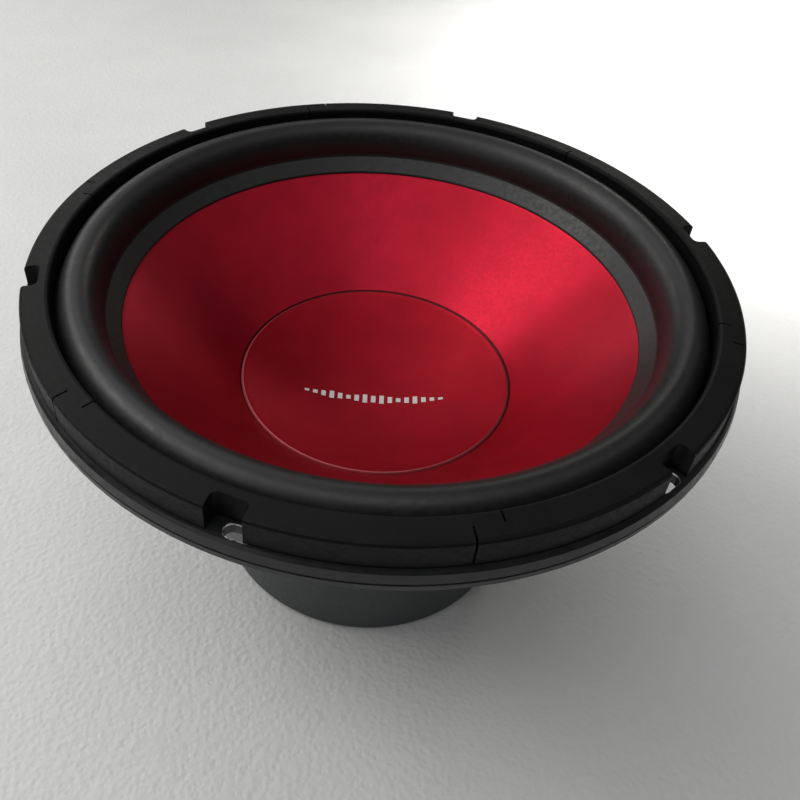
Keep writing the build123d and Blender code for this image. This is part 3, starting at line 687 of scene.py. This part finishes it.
def soften_edges(obj, width_mm):
    """Rounds the hard edges of a node a little, as moulding and paint do."""
    bevel = obj.modifiers.new("soft_edges", "BEVEL")
    bevel.width = width_mm * MM
    bevel.segments = 3
    bevel.limit_method = "ANGLE"
    bevel.angle_limit = math.radians(SOFT_EDGE_ANGLE)


def dress_cad():
    slots = {row["node"]: row["material_slot"] for row in frame["record"]["subparts"]}
    for name, obj in nodes.items():
        if obj.hide_render:
            continue
        obj.data.materials.clear()
        obj.data.materials.append(paints[slots[name]].material)
        for start, width in SOFT_EDGES.items():
            if name.startswith(start):
                soften_edges(obj, width)


make_cone()
make_cap()
make_marks()
make_surround()
make_spider()
make_leads()
make_springs()
dress_cad()


# ---------------------------------------------------------------- floor, light and camera

FLOOR_HALF = 1.7        # metres, as everything from here on


def make_floor():
    mesh = bpy.data.meshes.new("floor")
    corners = [(x * FLOOR_HALF, y * FLOOR_HALF, 0) for x, y in ((-1, -1), (1, -1), (1, 1), (-1, 1))]
    mesh.from_pydata(corners, [], [(0, 1, 2, 3)])
    mesh.materials.append(table_top().material)
    floor = bpy.data.objects.new("floor", mesh)
    bpy.context.scene.collection.objects.link(floor)


# Soft boxes around the speaker: azimuth, elevation, distance in metres, size, watts, colour.
# The watts started as a least-squares fit made by a separate program. Five are its values, scaled and
# rounded, and the other six were changed or added.
LIGHT_TARGET = (0, 0, 0.12)
STUDIO_LIGHTS = (
    (165, 40, 1.5, (0.9, 0.7), 6.3, (1.0, 0.99, 0.97)),
    (200, 52, 1.5, (0.9, 0.7), 3.8, (1.0, 0.99, 0.97)),
    (265, 65, 1.5, (0.9, 0.7), 2.6, (0.97, 0.99, 1.0)),
    (340, 55, 1.5, (0.9, 0.7), 1.1, (1.0, 0.98, 0.95)),
    (20, 40, 1.5, (0.9, 0.7), 0.7, (1.0, 0.98, 0.95)),
    (68, 24, 1.55, (0.35, 0.25), 1.3, (1.0, 0.96, 0.9)),
    (128, 18, 1.5, (0.8, 0.4), 2.0, (1.0, 0.99, 0.97)),
    (125, 52, 1.5, (0.8, 0.6), 1.8, (1.0, 0.99, 0.97)),
    (95, 38, 1.5, (0.8, 0.6), 1.1, (0.97, 0.99, 1.0)),
    (225, 30, 1.6, (0.8, 0.6), 1.5, (0.97, 0.99, 1.0)),
    (150, 88, 1.6, (1.2, 1.2), 1.8, (0.98, 0.99, 1.0)),
)


def area_light(azimuth, elevation, distance, size, energy, colour):
    """A soft box that faces the middle of the speaker."""
    light = bpy.data.lights.new(f"soft_box_{azimuth}", "AREA")
    light.shape = "RECTANGLE"
    light.size, light.size_y = size
    light.energy = energy
    light.color = colour
    obj = bpy.data.objects.new(light.name, light)
    level, turn = math.radians(elevation), math.radians(azimuth)
    away = Vector((math.cos(level) * math.cos(turn), math.cos(level) * math.sin(turn), math.sin(level)))
    obj.location = Vector(LIGHT_TARGET) + away * distance
    obj.rotation_mode = "QUATERNION"
    obj.rotation_quaternion = away.to_track_quat("Z", "Y")
    bpy.context.scene.collection.objects.link(obj)


def make_table_lamp():
    """A narrow round lamp over the far right of the table."""
    light = bpy.data.lights.new("table_lamp", "AREA")
    light.shape = "DISK"
    light.size = 0.5
    light.spread = math.radians(75)
    light.energy = 3.0
    light.color = (1.0, 0.99, 0.97)
    obj = bpy.data.objects.new("table_lamp", light)
    obj.location = (0.5, 0.62, 0.8)
    bpy.context.scene.collection.objects.link(obj)


def make_world():
    """A pale studio wall behind everything, which adds only a little light of its own."""
    world = bpy.data.worlds.new("studio")
    world.use_nodes = True
    tree = world.node_tree
    background = tree.nodes["Background"]
    background.inputs["Color"].default_value = (0.95, 0.98, 1.0, 1.0)
    seen = tree.nodes.new("ShaderNodeLightPath")
    strength = tree.nodes.new("ShaderNodeMapRange")
    strength.inputs["To Min"].default_value = 0.02
    strength.inputs["To Max"].default_value = 0.55
    tree.links.new(seen.outputs["Is Camera Ray"], strength.inputs["Value"])
    tree.links.new(strength.outputs["Result"], background.inputs["Strength"])
    bpy.context.scene.world = world


CAMERA_ELEVATION, CAMERA_ROLL = 41.661, 3.957
CAMERA_PLACE = (-0.009, -0.3165, 0.3962)
CAMERA_LENS, CAMERA_SENSOR = 38.74, 36.0
CAMERA_SHIFT = (0.0523, -0.0513)


def make_camera():
    elevation, roll = math.radians(CAMERA_ELEVATION), math.radians(CAMERA_ROLL)
    forward = Vector((0, math.cos(elevation), -math.sin(elevation)))
    level = Vector((1, 0, 0))
    up = level.cross(forward)
    right = math.cos(roll) * level + math.sin(roll) * up
    top = -math.sin(roll) * level + math.cos(roll) * up
    turn = Matrix((right, top, -forward)).transposed().to_4x4()
    camera = bpy.data.cameras.new("camera")
    camera.sensor_width = CAMERA_SENSOR
    camera.lens = CAMERA_LENS
    camera.shift_x, camera.shift_y = CAMERA_SHIFT
    camera.clip_start = 0.01
    obj = bpy.data.objects.new("camera", camera)
    obj.matrix_world = Matrix.Translation(CAMERA_PLACE) @ turn
    bpy.context.scene.collection.objects.link(obj)
    bpy.context.scene.camera = obj


bpy.context.scene.view_settings.view_transform = "Standard"
make_floor()
make_world()
for azimuth, elevation, distance, size, energy, colour in STUDIO_LIGHTS:
    area_light(azimuth, elevation, distance, size, energy, colour)
make_table_lamp()
make_camera()
